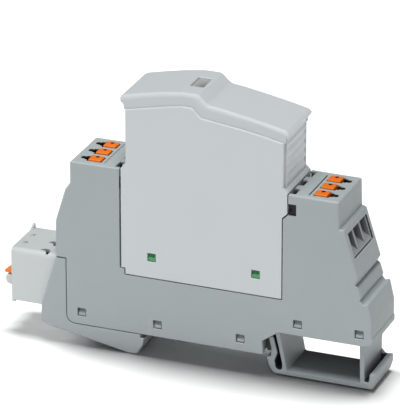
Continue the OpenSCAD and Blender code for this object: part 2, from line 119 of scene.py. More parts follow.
def join_rings(rings):
    """A closed mesh through rings of points, which all have the same count."""
    bm = bmesh.new()
    rows = [[bm.verts.new(p) for p in ring] for ring in rings]
    c = len(rows[0])
    for a, b in zip(rows, rows[1:]):
        for i in range(c):
            bm.faces.new((a[i], a[(i + 1) % c], b[(i + 1) % c], b[i]))
    bm.faces.new(rows[0])
    bm.faces.new(rows[-1])
    bmesh.ops.remove_doubles(bm, verts=bm.verts, dist=2e-7)
    bmesh.ops.dissolve_degenerate(bm, edges=bm.edges, dist=1e-7)
    bmesh.ops.recalc_face_normals(bm, faces=bm.faces)
    return bm


def prism(keys, d0, d1, n=5, m=4, front=True, back=True, axis="d"):
    """An X-Z outline drawn out from depth d0 to d1, with rounded front and back edges.
    For axis x, a depth-Z outline drawn out from X = d0 to X = d1."""
    keys = [tuple(k) + (0,) * (4 - len(k)) for k in keys]
    rings = []

    def ring(k, depth, sign, f):
        if axis == "d":
            rings.append([(x * MM, (YF + depth + sign * t * f) * MM, z * MM) for x, z, t in inset(keys, k, n)])
        else:
            rings.append([((depth + sign * t * f) * MM, (YF + x) * MM, z * MM) for x, z, t in inset(keys, k, n)])

    if front:
        for j in range(m + 1):
            a = j / m * math.pi / 2
            ring(1 - math.sin(a), d0, 1, 1 - math.cos(a))
    else:
        ring(0, d0, 0, 0)
    if back:
        for j in range(m, -1, -1):
            a = j / m * math.pi / 2
            ring(1 - math.sin(a), d1, -1, 1 - math.cos(a))
    else:
        ring(0, d1, 0, 0)
    return join_rings(rings)


def rrect(hx, hy, r, n=4):
    """A rectangle of half sizes hx and hy with rounded corners, as (x, y)."""
    k = [(-hx, -hy), (hx, -hy), (hx, hy), (-hx, hy)]
    if r <= 0:
        return k
    return [p for i in range(4) for p in round_corner(k[i - 1], k[i], k[(i + 1) % 4], r, n)]


def stack(levels, axis="z", n=4):
    """A solid of rounded rectangles along an axis. Each level is (position, c1, c2, h1, h2, r).
    For z the rectangle's sides lie along X and depth, for d along X and Z, for x along depth and Z."""
    rings = []
    for pos, c1, c2, h1, h2, r in levels:
        ring = []
        for u, v in rrect(h1, h2, r, n):
            if axis == "z":
                p = (c1 + u, YF + c2 + v, pos)
            elif axis == "d":
                p = (c1 + u, YF + pos, c2 + v)
            else:
                p = (pos, YF + c1 + u, c2 + v)
            ring.append(tuple(q * MM for q in p))
        rings.append(ring)
    return join_rings(rings)


def box(x0, x1, d0, d1, z0, z1):
    return stack([(z, (x0 + x1) / 2, (d0 + d1) / 2, (x1 - x0) / 2, (d1 - d0) / 2, 0) for z in (z0, z1)])


def soft_box(x0, x1, d0, d1, z0, z1, r, e, axis="z"):
    """A box whose corners along the axis are rounded to r, and whose end edges are rounded to e."""
    if axis == "z":
        lo, hi, c1, c2, h1, h2 = z0, z1, (x0 + x1) / 2, (d0 + d1) / 2, (x1 - x0) / 2, (d1 - d0) / 2
    elif axis == "d":
        lo, hi, c1, c2, h1, h2 = d0, d1, (x0 + x1) / 2, (z0 + z1) / 2, (x1 - x0) / 2, (z1 - z0) / 2
    else:
        lo, hi, c1, c2, h1, h2 = x0, x1, (d0 + d1) / 2, (z0 + z1) / 2, (d1 - d0) / 2, (z1 - z0) / 2
    levels, m = [], 3
    for j in range(m + 1):
        a = j / m * math.pi / 2
        k = e * (1 - math.sin(a))
        levels.append((lo + e * (1 - math.cos(a)), c1, c2, h1 - k, h2 - k, max(0.01, r - k)))
    for j in range(m, -1, -1):
        a = j / m * math.pi / 2
        k = e * (1 - math.sin(a))
        levels.append((hi - e * (1 - math.cos(a)), c1, c2, h1 - k, h2 - k, max(0.01, r - k)))
    return stack(levels, axis)


def flared(axis, inner, face, c1, c2, h1, h2, r, flare):
    """A cutter from inside a wall out past its face, which widens by flare where it meets the face."""
    s = 1 if face > inner else -1
    return stack([(inner, c1, c2, h1, h2, r), (face - s * flare, c1, c2, h1, h2, r),
                  (face + s * 0.001, c1, c2, h1 + flare, h2 + flare, r + flare * 0.5),
                  (face + s * 1.0, c1, c2, h1 + flare, h2 + flare, r + flare * 0.5)], axis)


def round_cut(x, d, z0, z1, r, n=20):
    return join_rings([[((x + r * math.cos(2 * math.pi * i / n)) * MM, (YF + d + r * math.sin(2 * math.pi * i / n)) * MM, z * MM)
                        for i in range(n)] for z in (z0, z1)])


def oval_cut(x, d, z0, z1, rx, rd, n=32):
    return join_rings([[((x + rx * math.cos(2 * math.pi * i / n)) * MM, (YF + d + rd * math.sin(2 * math.pi * i / n)) * MM, z * MM)
                        for i in range(n)] for z in (z0, z1)])


def turn(bm, matrix):
    bmesh.ops.transform(bm, matrix=matrix, verts=bm.verts)
    if matrix.determinant() < 0:
        bmesh.ops.reverse_faces(bm, faces=bm.faces)
    return bm


def mirror_x(bm):
    return turn(bm, Matrix.Diagonal((-1, 1, 1, 1)))


def mirror_y(bm):
    return turn(bm, Matrix.Diagonal((1, -1, 1, 1)))


def thing(name, *bms):
    me = bpy.data.meshes.new(name)
    whole = bmesh.new()
    for bm in bms:
        part = bpy.data.meshes.new("part")
        bm.to_mesh(part)
        whole.from_mesh(part)
        bm.free()
        bpy.data.meshes.remove(part)
    whole.to_mesh(me)
    whole.free()
    o = bpy.data.objects.new(name, me)
    scene.collection.objects.link(o)
    return o


def flatten(o):
    """Applies an object's modifiers."""
    bpy.context.view_layer.update()
    me = bpy.data.meshes.new_from_object(o.evaluated_get(bpy.context.evaluated_depsgraph_get()))
    old = o.data
    o.modifiers.clear()
    o.data = me
    bpy.data.meshes.remove(old)


def combine(o, bms, operation):
    others = [thing("tool_%d" % i, b) for i, b in enumerate(bms)]
    for t in others:
        mod = o.modifiers.new("b", "BOOLEAN")
        mod.object, mod.operation, mod.solver = t, operation, "EXACT"
    flatten(o)
    for t in others:
        me = t.data
        bpy.data.objects.remove(t)
        bpy.data.meshes.remove(me)
    return o


def pack_tools(bms):
    """Several cutters that don't meet each other, as one."""
    whole = bmesh.new()
    for bm in bms:
        me = bpy.data.meshes.new("part")
        bm.to_mesh(me)
        whole.from_mesh(me)
        bm.free()
        bpy.data.meshes.remove(me)
    return whole


def cut(o, *groups):
    return combine(o, [pack_tools(g) if isinstance(g, list) else g for g in groups], "DIFFERENCE")


def add(o, *bms):
    return combine(o, list(bms), "UNION")


def smooth(o, angle=32):
    """Joins split vertices, keeps real edges sharp and lets flat faces stay flat beside their rounded edges."""
    bm = bmesh.new()
    bm.from_mesh(o.data)
    bmesh.ops.remove_doubles(bm, verts=bm.verts, dist=3e-7)
    bmesh.ops.dissolve_degenerate(bm, edges=bm.edges, dist=3e-7)
    bmesh.ops.dissolve_limit(bm, angle_limit=math.radians(0.3), verts=bm.verts, edges=bm.edges)
    bmesh.ops.triangulate(bm, faces=[f for f in bm.faces if len(f.verts) > 4], quad_method="BEAUTY", ngon_method="BEAUTY")
    bm.to_mesh(o.data)
    bm.free()
    for p in o.data.polygons:
        p.use_smooth = True
    o.data.set_sharp_from_angle(angle=math.radians(angle))
    mod = o.modifiers.new("normals", "WEIGHTED_NORMAL")
    mod.keep_sharp = True
    mod.weight = 100
    flatten(o)
    return o


def place(o, body, material, slot, *nodes):
    o.data.materials.clear()
    o.data.materials.append(material)
    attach(o, body)
    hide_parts(*nodes)
    return o


# ------------------------------------------------------------------ materials
def lin(c):
    return tuple((v / 12.92 if v <= 0.04045 else ((v + 0.055) / 1.055) ** 2.4) for v in c)


def mix_colours(nt, fac, a, b):
    m = nt.nodes.new("ShaderNodeMix")
    m.data_type = "RGBA"
    m.inputs[6].default_value = (*a, 1)
    m.inputs[7].default_value = (*b, 1)
    nt.links.new(fac, m.inputs[0])
    return m.outputs[2]


def noise(nt, vec, scale, detail=2.0, rough=0.5):
    t = nt.nodes.new("ShaderNodeTexNoise")
    t.inputs["Scale"].default_value = scale
    t.inputs["Detail"].default_value = detail
    t.inputs["Roughness"].default_value = rough
    nt.links.new(vec, t.inputs["Vector"])
    return t.outputs["Fac"]


def ramp(nt, value, lo, hi, out_lo, out_hi):
    m = nt.nodes.new("ShaderNodeMapRange")
    for i, v in enumerate((lo, hi, out_lo, out_hi)):
        m.inputs[i + 1].default_value = v
    nt.links.new(value, m.inputs[0])
    return m.outputs[0]


def begin(name):
    m = bpy.data.materials.new(name)
    m.use_nodes = True
    nt = m.node_tree
    nt.nodes.clear()
    out = nt.nodes.new("ShaderNodeOutputMaterial")
    sh = nt.nodes.new("ShaderNodeBsdfPrincipled")
    nt.links.new(sh.outputs[0], out.inputs[0])
    tc = nt.nodes.new("ShaderNodeTexCoord")
    return m, nt, sh, tc.outputs["Object"]


def bump(nt, sh, height, strength, distance):
    b = nt.nodes.new("ShaderNodeBump")
    b.inputs["Strength"].default_value = strength
    b.inputs["Distance"].default_value = distance
    nt.links.new(height, b.inputs["Height"])
    nt.links.new(b.outputs[0], sh.inputs["Normal"])


def inside(nt, vec, boxes):
    """1 inside any of the given boxes (x0, x1, y0, y1, z0, z1), in metres, with x and y taken as distances."""
    sep = nt.nodes.new("ShaderNodeSeparateXYZ")
    nt.links.new(vec, sep.inputs[0])

    def math_node(op, a, b=None):
        m = nt.nodes.new("ShaderNodeMath")
        m.operation = op
        for k, v in enumerate((a, b)):
            if v is None:
                continue
            if isinstance(v, float):
                m.inputs[k].default_value = v
            else:
                nt.links.new(v, m.inputs[k])
        return m.outputs[0]

    ax, ay, z = math_node("ABSOLUTE", sep.outputs[0]), math_node("ABSOLUTE", sep.outputs[1]), sep.outputs[2]
    total = None
    for x0, x1, y0, y1, z0, z1 in boxes:
        v = None
        for c, lo, hi in ((ax, x0, x1), (ay, y0, y1), (z, z0, z1)):
            t = math_node("MULTIPLY", math_node("GREATER_THAN", c, lo), math_node("LESS_THAN", c, hi))
            v = t if v is None else math_node("MULTIPLY", v, t)
        total = v if total is None else math_node("MAXIMUM", total, v)
    return total


def behind(nt, vec):
    """Mask for painted shade: 1 on the faces between the fins and in the throats of both wire guides, 0 on their front
    edges and floors.
    """

    def math_node(op, a, b=None, c=None):
        m = nt.nodes.new("ShaderNodeMath")
        m.operation = op
        for k, v in enumerate((a, b, c)):
            if isinstance(v, float):
                m.inputs[k].default_value = v
            elif v is not None:
                nt.links.new(v, m.inputs[k])
        return m.outputs[0]

    sep = nt.nodes.new("ShaderNodeSeparateXYZ")
    nt.links.new(vec, sep.inputs[0])
    along = math_node("MULTIPLY_ADD", sep.outputs[2], 0.2955, math_node("MULTIPLY", math_node("ABSOLUTE", sep.outputs[0]), 0.955))
    depth = math_node("SUBTRACT", 0.04796, along)
    tc = nt.nodes.new("ShaderNodeTexCoord")
    face = nt.nodes.new("ShaderNodeSeparateXYZ")
    nt.links.new(tc.outputs["Normal"], face.inputs[0])
    side = math_node("GREATER_THAN", math_node("ABSOLUTE", face.outputs[1]), 0.6)
    return math_node("MAXIMUM", math_node("MULTIPLY", side, ramp(nt, depth, 0.00035, 0.0006, 0, 1)), ramp(nt, depth, 0.0019, 0.0026, 0, 1))


def plastic(name, rgb, rough=0.45, spread=0.025, grain=0.25, ior=1.5, painted_shade_boxes=None, painted_shade_ramp=None, painted_funnel_shade=False):
    """Moulded plastic with a fine spark-eroded grain, a slightly uneven gloss and faint flow shading.
    The first optional boxes name narrow hollows whose faces no light reaches; they get a near-black painted shade.
    The second optional boxes name faces with a painted shade that deepens from front to back. The wire-guide option
    paints shade on the faces that look along Y set in from the slanted end's surface, and on the throat past them."""
    m, nt, sh, vec = begin(name)
    flow = noise(nt, vec, 38, 3, 0.55)
    fine = noise(nt, vec, 2400, 2, 0.6)
    add_ = nt.nodes.new("ShaderNodeMath")
    add_.operation = "MULTIPLY_ADD"
    nt.links.new(fine, add_.inputs[0])
    add_.inputs[1].default_value = 0.35
    nt.links.new(flow, add_.inputs[2])
    fac = ramp(nt, add_.outputs[0], 0.35, 0.95, 0, 1)
    a = tuple(max(0, v * (1 - spread)) for v in rgb)
    b = tuple(min(1, v * (1 + spread)) for v in rgb)
    colour = mix_colours(nt, fac, a, b)
    # painted shade: hollows inside the given boxes get a near-black colour where shade falls
    if painted_shade_boxes:
        painted_shade_mix = nt.nodes.new("ShaderNodeMix")
        painted_shade_mix.data_type = "RGBA"
        nt.links.new(inside(nt, vec, painted_shade_boxes), painted_shade_mix.inputs[0])
        nt.links.new(colour, painted_shade_mix.inputs[6])
        painted_shade_mix.inputs[7].default_value = (0.03, 0.034, 0.034, 1)
        colour = painted_shade_mix.outputs[2]
    # painted shade: faces between the wire guides' fins and their throats get a dark colour
    if painted_funnel_shade:
        painted_funnel_mix = nt.nodes.new("ShaderNodeMix")
        painted_funnel_mix.data_type = "RGBA"
        nt.links.new(behind(nt, vec), painted_funnel_mix.inputs[0])
        nt.links.new(colour, painted_funnel_mix.inputs[6])
        painted_funnel_mix.inputs[7].default_value = (0.15, 0.152, 0.165, 1)
        colour = painted_funnel_mix.outputs[2]
    # painted shade: inside the given boxes the colour darkens from front to back
    if painted_shade_ramp:
        sep = nt.nodes.new("ShaderNodeSeparateXYZ")
        nt.links.new(vec, sep.inputs[0])
        painted_shade_amount = nt.nodes.new("ShaderNodeMath")
        painted_shade_amount.operation = "MULTIPLY"
        nt.links.new(inside(nt, vec, painted_shade_ramp), painted_shade_amount.inputs[0])
        nt.links.new(ramp(nt, sep.outputs[1], -0.0068, 0.005, 0.1, 0.85), painted_shade_amount.inputs[1])
        painted_ramp_mix = nt.nodes.new("ShaderNodeMix")
        painted_ramp_mix.data_type = "RGBA"
        nt.links.new(painted_shade_amount.outputs[0], painted_ramp_mix.inputs[0])
        nt.links.new(colour, painted_ramp_mix.inputs[6])
        painted_ramp_mix.inputs[7].default_value = (0.05, 0.054, 0.056, 1)
        colour = painted_ramp_mix.outputs[2]
    nt.links.new(colour, sh.inputs["Base Color"])
    nt.links.new(ramp(nt, noise(nt, vec, 420, 3, 0.5), 0.3, 0.7, rough - 0.05, rough + 0.05), sh.inputs["Roughness"])
    bump(nt, sh, noise(nt, vec, 3200, 2, 0.55), grain, 0.00002)
    sh.inputs["IOR"].default_value = ior
    return m


def metal(name, rgb, rough=0.3, streak="x", dull=0.12):
    """Rolled or plated strip: fine lines along one axis, with a soft uneven tarnish."""
    m, nt, sh, vec = begin(name)
    mp = nt.nodes.new("ShaderNodeMapping")
    mp.inputs["Scale"].default_value = {"x": (0.04, 1, 1), "y": (1, 0.04, 1), "z": (1, 1, 0.04)}[streak]
    nt.links.new(vec, mp.inputs["Vector"])
    lines = noise(nt, mp.outputs[0], 3000, 3, 0.6)
    tarnish = noise(nt, vec, 160, 4, 0.6)
    a = tuple(v * (1 - dull) for v in rgb)
    nt.links.new(mix_colours(nt, ramp(nt, tarnish, 0.35, 0.65, 0, 1), a, rgb), sh.inputs["Base Color"])
    nt.links.new(ramp(nt, lines, 0.3, 0.7, rough - 0.06, rough + 0.1), sh.inputs["Roughness"])
    bump(nt, sh, lines, 0.2, 0.00001)
    sh.inputs["Metallic"].default_value = 1
    return m


def board(name):
    """Solder mask with faint copper tracks under it."""
    m, nt, sh, vec = begin(name)
    mp = nt.nodes.new("ShaderNodeMapping")
    mp.inputs["Scale"].default_value = (1, 0.2, 1)
    nt.links.new(vec, mp.inputs["Vector"])
    b = nt.nodes.new("ShaderNodeTexBrick")
    b.inputs["Scale"].default_value = 260
    b.inputs["Mortar Size"].default_value = 0.035
    b.inputs["Color1"].default_value = b.inputs["Color2"].default_value = (0, 0, 0, 1)
    b.inputs["Mortar"].default_value = (1, 1, 1, 1)
    sw = nt.nodes.new("ShaderNodeSeparateXYZ")
    cb = nt.nodes.new("ShaderNodeCombineXYZ")
    nt.links.new(mp.outputs[0], sw.inputs[0])
    nt.links.new(sw.outputs[0], cb.inputs[0])
    nt.links.new(sw.outputs[2], cb.inputs[1])
    nt.links.new(cb.outputs[0], b.inputs["Vector"])
    nt.links.new(mix_colours(nt, b.outputs["Color"], (0.006, 0.085, 0.03), (0.03, 0.16, 0.055)), sh.inputs["Base Color"])
    nt.links.new(ramp(nt, noise(nt, vec, 900), 0.3, 0.7, 0.22, 0.34), sh.inputs["Roughness"])
    bump(nt, sh, b.outputs["Color"], 0.4, 0.00004)
    return m


def coated(name, rgb, rough=0.25):
    """Dipped epoxy or glaze: a slightly lumpy glossy skin."""
    m, nt, sh, vec = begin(name)
    lump = noise(nt, vec, 420, 3, 0.55)
    a, b = tuple(v * 0.82 for v in rgb), tuple(min(1, v * 1.12) for v in rgb)
    nt.links.new(mix_colours(nt, ramp(nt, lump, 0.3, 0.7, 0, 1), a, b), sh.inputs["Base Color"])
    nt.links.new(ramp(nt, noise(nt, vec, 1500), 0.3, 0.7, rough - 0.06, rough + 0.08), sh.inputs["Roughness"])
    bump(nt, sh, lump, 0.5, 0.00012)
    return m


def lens_material():
    """Frosted translucent window over a sand-grey backing, with painted shade that darkens it towards one corner, as
    the walls of its recess would.
    """
    m, nt, sh, vec = begin("lens_frosted")
    sep = nt.nodes.new("ShaderNodeSeparateXYZ")
    nt.links.new(vec, sep.inputs[0])
    along = ramp(nt, sep.outputs[0], -0.0056, -0.0022, 0, 1)
    across = ramp(nt, sep.outputs[1], 0.0032, -0.0033, 0, 1)
    painted_corner_shade = nt.nodes.new("ShaderNodeMath")
    painted_corner_shade.operation = "MULTIPLY"
    nt.links.new(along, painted_corner_shade.inputs[0])
    nt.links.new(across, painted_corner_shade.inputs[1])
    add_ = nt.nodes.new("ShaderNodeMath")
    add_.operation = "MULTIPLY_ADD"
    nt.links.new(noise(nt, vec, 900, 3, 0.5), add_.inputs[0])
    add_.inputs[1].default_value = 0.15
    nt.links.new(painted_corner_shade.outputs[0], add_.inputs[2])
    # painted shade: the colour turns dark grey-green towards one corner, in place of the recess's shade
    nt.links.new(mix_colours(nt, add_.outputs[0], (0.38, 0.40, 0.39), (0.10, 0.118, 0.105)), sh.inputs["Base Color"])
    nt.links.new(ramp(nt, noise(nt, vec, 1300), 0.3, 0.7, 0.42, 0.52), sh.inputs["Roughness"])
    bump(nt, sh, noise(nt, vec, 2000, 2), 0.2, 0.00002)
    return m


# painted shade: near-black on the hollow under the block tops, in the openings and slots, and on the far wall of each
# slanted opening
M_BASE = plastic("base_plastic", (0.313, 0.344, 0.350), 0.52,
                 painted_shade_boxes=[(0.0262, 0.0363, -1.0, 0.0075, 0.028, 0.0454), (0.02325, 0.0255, -1.0, 0.0086, 0.0402, 0.0436),
                       (0.0331, 0.0356, -1.0, 0.0070, 0.0450, 0.04592), (0.0278, 0.0286, -1.0, 0.0071, 0.0452, 0.0456),
                       (0.0375, 0.0413, 0.00695, 0.00712, 0.0304, 0.0366)])
# painted shade: near-black in the foot's slots, the hook channel and the gap at the nose, and a painted shade on the
# latch window's floor that deepens towards the back
M_FOOT = plastic("foot_plastic", (0.313, 0.344, 0.350), 0.52,
                 painted_shade_boxes=[(0.0189, 0.02135, -1.0, 0.0066, -0.0048, 0.0015), (0.0183, 0.0203, -1.0, 0.0066, 0.0015, 0.0065),
                       (0.0438, 0.0453, -1.0, 0.0066, -0.0042, -0.0013), (0.01665, 0.0184, -1.0, 0.0066, 0.0, 0.0042)],
                 painted_shade_ramp=[(0.0226, 0.0427, -1.0, 0.0071, -0.0048, -0.0042)])
# painted shade on the faces between the fins and in the throats of the wire guides
M_GUIDE = plastic("guide_plastic", (0.29, 0.315, 0.32), 0.55, painted_funnel_shade=True)
M_PLUG = plastic("plug_plastic", (0.487, 0.517, 0.531), 0.56, spread=0.018)
M_CONN = plastic("connector_plastic", (0.497, 0.524, 0.528), 0.5, spread=0.02)
# painted shade: near-black inside the round hole of each button cap
M_ORANGE = plastic("button_plastic", (0.83, 0.178, 0.006), 0.42, spread=0.05,
                   painted_shade_boxes=[(0.0304, 0.0318, y0, y1, 0.0443, 0.04630) for y0, y1 in ((0.00015, 0.00145), (0.00355, 0.00485), (0.00515, 0.00645))])
M_GREEN = plastic("carrier_plastic", (0.06, 0.29, 0.105), 0.45, spread=0.06)
M_BLACK = plastic("black_plastic", (0.009, 0.009, 0.012), 0.6, spread=0.15, ior=1.35)
M_FLAG = plastic("flag_plastic", (0.55, 0.55, 0.52), 0.5)
M_COPPER = metal("copper_strip", (0.72, 0.33, 0.18), 0.34)
M_TIN = metal("tinned_strip", (0.66, 0.65, 0.60), 0.3, "z")
M_SPRING = metal("spring_steel", (0.48, 0.49, 0.50), 0.28, "y")
M_BOARD = board("solder_mask")
M_BLUE = coated("varistor_epoxy", (0.02, 0.075, 0.30))
M_CERAMIC = coated("glazed_ceramic", (0.68, 0.63, 0.54), 0.3)
M_LENS = lens_material()

FINISH = {
    "base_housing": M_BASE, "base_foot": M_FOOT, "coding_bar": M_BLACK, "wire_guide": M_GUIDE, "busbar": M_COPPER, "socket": M_TIN,
    "clamp_spring": M_SPRING, "signal_header": M_BLACK, "signal_pins": M_TIN, "signal_board": M_BOARD,
    "signal_switch": M_BLACK, "button": M_ORANGE, "connector_housing": M_CONN, "connector_contacts": M_TIN,
    "connector_spring": M_SPRING, "connector_lever": M_ORANGE, "plug_frame": M_PLUG, "plug_cover": M_PLUG,
    "plug_carrier": M_GREEN, "plug_board": M_BOARD, "varistor": M_BLUE, "gas_tube": M_CERAMIC, "blade": M_TIN,
    "status_lens": M_LENS, "trip_slider": M_FLAG, "trip_spring": M_SPRING,
}
for node_name, node_object in NODES.items():
    kind = max((k for k in FINISH if node_name.startswith(k)), key=len)
    node_object.data.materials.clear()
    node_object.data.materials.append(FINISH[kind])

# ------------------------------------------------------------------ base housing
SEAM = 0.1
HOUSING = [
    (-38.4, 0, 2.2, SEAM), (-38.4, 18.4, 0, SEAM), (-41.4, 18.4, 0.1, 0.6), (-41.4, 28.6, 6, 0.6),
    (-38.6, 37.8, 0.8, 0.6), (-37.2, 39.8, 0.6, 0.6), (-37.2, TOP, 0.7, 0.55),
    (-24.4, TOP, 0, 0.2), (-23.3, TOP, 0.25, SEAM), (-23.3, 18, 0.1, SEAM), (-22, 18, 0.1, SEAM), (-22, FLOOR, 0.1, SEAM),
    (21.8, FLOOR, 0.1, SEAM), (21.8, 39, 0.1, SEAM), (23.2, 40.3, 0.1, SEAM), (23.2, TOP, 0.25, 0.2), (24.3, TOP, 0, 0.55),
    (36.9, TOP, 0.5, 0.6), (37.1, 38.5, 0.25, 0.5), (38.3, 38.4, 0.7, 0.8), (42.4, 25.4, 0.6, 0.4),
    (41.5, 23.6, 0.15, 0.3), (42.3, 23.1, 0.4, 0.5), (43.2, 20.4, 0.4, 0.3), (42.9, 19.5, 0.15, 0.3),
    (43.8, 18.5, 0.3, 0.35), (45, 19.2, 0.5, 0.6), (46.3, 13.8, 2, 0.6), (46.3, 9.4, 0.04, 0.6), (46.5, 9.2, 0.04, 0.6), (46.5, 7.5, 0.5, 0.4), (44.7, 6.9, 0.4, 0.3),
    (20.8, 6.9, 0.6, 0.3), (16.4, 3.8, 0.3, 0.3), (16.6, 0, 0.3, 0.15),
]
HOLLOW = [
    (-41.4 + WALL, -1), (-41.4 + WALL, 28.4), (-37.2, 37.2), (-35.7, 39.4), (-35.7, TOP - WALL),
    (-23.3 - WALL, TOP - WALL), (-23.3 - WALL, FLOOR - WALL), (21.8 + WALL, FLOOR - WALL), (21.8 + WALL, 39.6),
    (23.2 + WALL, 40.9), (23.2 + WALL, TOP - WALL), (35.4, TOP - WALL), (35.6, 37), (37.2, 36.9), (40.8, 25.5),
    (39.8, 23), (41.6, 20), (41.2, 18.4), (43.2, 16.8), (44.3, 15), (45, 13.2), (45, 8.6), (44.2, 8.4), (44.2, 5),
    (22, 5), (18, 2), (18, -1),
]
SNAP = [(-34.2, 3.4), (-12.8, 3.4), (10.3, 3.4), (26, 10.1), (42.8, 10.1)]
PLUG_SNAP = [(-14.4, 22.3), (14.4, 22.3)]
BLADE_X = [-14, 0, 14]
SLANT_R = Matrix.Translation((38.785 * MM, 0, 36.82 * MM)) @ Matrix.Rotation(math.radians(-17.4), 4, "Y")
SLANT_L = Matrix.Diagonal((-1, 1, 1, 1)) @ Matrix.Translation((38.9 * MM, 0, 36.7 * MM)) @ Matrix.Rotation(math.radians(-17), 4, "Y")

housing = thing("housing_shell", prism(HOUSING, 0, W))
cut(housing, prism([(x, z, 0, 0) for x, z in HOLLOW], WALL, W - WALL, front=False, back=False))
VENTS = [W / 2 - 5.9, W / 2, W / 2 + 5.9]
under, tools_a, tools_b, tools_c = [], [], [], []
for s in (1, -1):
    flip = (lambda m: m) if s > 0 else mirror_x
    # the skin round the openings is thin, so what lies below them stays dark; the housing's material also paints
    # near-black shade onto this hollow
    under.append(flip(box(28.7, 36.2, 1.4, W - 1.4, TOP - WALL - 0.2, TOP - 0.5)))
    for d in VENTS:
        under.append(flip(box(22.2, 25, d - 1.8, min(d + 3, W - 0.8), 40.8, TOP - 0.5)))
        tools_c.append(flip(flared("z", TOP - 1, TOP, 23.4, d, 1.4, 1.8, 0.2, 0.08)))
    for d in POLES:
        tools_a.append(flip(flared("z", TOP - 1, TOP, 31.2, d, 2.1, 1.85, 0.25, 0.08)))
        tools_b.append(flip(box(32.9, 34.1, d - 1.2, d + 1.2, TOP - 1, TOP + 1)))
        tools_b.append(flip(round_cut(34.6, d, TOP - 1, TOP + 1, 0.85)))
        tools_c.append(flip(box(33.9, 34.6, d - 0.75, d + 0.75, TOP - 1, TOP + 1)))
    hw, dp = (0.21, 0.6) if s > 0 else (0.12, 0.3)
    tools_c.append(flip(stack([(TOP - dp, 28.17, W / 2, hw * 0.6, 6.9, 0.05), (TOP + 0.001, 28.17, W / 2, hw, 6.98, 0.08), (TOP + 1, 28.17, W / 2, hw, 6.98, 0.08)])))
for group in (under, tools_a, tools_b, tools_c):
    for t in group:
        cut(housing, t)
cut(housing, box(22, 25.4, -1, W + 1, 40.3, 43.5))
windows = []
for x, z in SNAP:
    windows.append(flared("d", 3, 0, x, z, 1.2, 1.2, 0.12, 0.1))
    windows.append(flared("d", W - 3, W, x, z, 1.2, 1.2, 0.12, 0.1))
for i in range(3):
    windows.append(box(BLADE_X[i] - 1.1, BLADE_X[i] + 1.1, POLES[i] - 2.1, POLES[i] + 2.1, FLOOR - WALL - 1, FLOOR + 1))
windows.append(box(-19.9, -17.5, W / 2 - 2.5 - 0.9, W / 2 - 2.5 + 0.9, FLOOR - WALL - 1, FLOOR + 1))
cut(housing, windows)


def slant_cut(matrix, h):
    levels = [(-2.5, W / 2, -h / 2, (W - 3.6) / 2, h / 2, 0.15), (-0.12, W / 2, -h / 2, (W - 3.6) / 2, h / 2, 0.15),
              (0.02, W / 2, -h / 2, (W - 3.6) / 2 + 0.14, h / 2 + 0.14, 0.25), (3, W / 2, -h / 2, (W - 3.6) / 2 + 0.14, h / 2 + 0.14, 0.25)]
    return turn(stack(levels, "x"), matrix)


cut(housing, slant_cut(SLANT_R, 7), slant_cut(SLANT_L, 6.2))
smooth(housing)
place(housing, "base", M_BASE, "housing_grey", "base_housing")

# ------------------------------------------------------------------ wire guides
for side, matrix, h, node in ((1, SLANT_R, 7, "wire_guide_right"), (-1, SLANT_L, 6.2, "wire_guide_left")):
    g = thing(node + "_insert", soft_box(-3.4, -0.25, 2.1, W - 2.2, -h + 0.45, -0.1, 0.2, 0.12, "x"))
    funnels, throats = [], []
    for d in POLES:
        funnels.append(prism([(0.3, 0.1, 0, 0), (0.3, -h + 0.6, 0, 0), (-0.3, -h + 1.1, 0, 0), (-2.6, -h + 3.5, 0, 0), (-2.6, -0.35, 0, 0), (-0.6, 0.1, 0, 0)],
                             max(d - 1.95, 2.35), min(d + 1.95, W - 2.7), front=False, back=False))
        throats.append(box(-4, -2, d - 1.5, min(d + 1.5, W - 2.75), -h + 3.2, -0.6))
    cut(g, funnels, throats)
    # the fins stand back behind the rim of the block
    cut(g, prism([(0.3, 0.1, 0, 0), (0.3, -h + 1.3, 0, 0), (-0.5, -h + 1.3, 0, 0), (-0.65, 0.1, 0, 0)], 2.35, W - 2.7, front=False, back=False))
    turned = bmesh.new()
    turned.from_mesh(g.data)
    turn(turned, matrix)
    turned.to_mesh(g.data)
    turned.free()
    smooth(g)
    place(g, "base", M_GUIDE, "guide_grey", node)

# ------------------------------------------------------------------ foot
CORNER = [
    (-38.62, 18.05, 0.1, SEAM), (-41.5, 18.05, 0.2, 0.5), (-45.8, 3.9, 3, 0.5), (-45.9, -1.4, 1, 0.5), (-42.8, -2.1, 2, 0.5),
    (-21, -6.25, 0.9, 0.5), (-18.6, -6.2, 1.3, 0.45), (-17, -3.4, 1.2, 0.3), (-16.6, -1.2, 0.2, 0.15), (-17.7, -1.2, 0.1, 0.15),
    (-17.7, -0.2, 0.1, SEAM), (-38.62, -0.2, 2.35, SEAM),
]
FLOOR_PART = [
    (-39.6, -0.4), (-39.6, 1.6), (14, 1.6), (18.4, 8.5), (43.9, 8.5), (43.9, 7.2), (20.6, 7.2), (16.1, 4.2), (16.1, 0),
    (-16.4, 0), (-16.4, 0.3), (-17.7, 0.3), (-17.7, -0.4),
]
LATCH = [
    (17.5, 4.2, 0.4), (18.2, 1.4, 0.6), (18.1, -1.05, 0.1), (16.9, -1.25, 0.15), (17.6, -3.8, 0.8), (18.9, -5.75, 1.4),
    (46.1, -5.8, 0.9), (46.88, -3, 0.4), (46.8, -1.2, 0.35), (45.2, -1.5, 0.4), (45, -4, 0.6), (43.8, -4, 0.5),
    (43.7, 2, 1.5), (44.1, 7.4, 0), (18.9, 7.4, 0), (20.2, 2, 0.6), (21.2, -2.6, 1), (21.2, -4.7, 0.8), (19.5, -4.6, 0.9),
    (19.1, -2.2, 0.5), (19.9, 0.2, 0.6), (18.7, 4.9, 0.4),
]
D0 = (W - 14) / 2
foot = thing("foot_moulding", prism(CORNER, 0, W))
cut(foot, box(-50, -36, W / 2 - 7.5 - GAP, W / 2 + 7.5 + GAP, 2.7, 19))
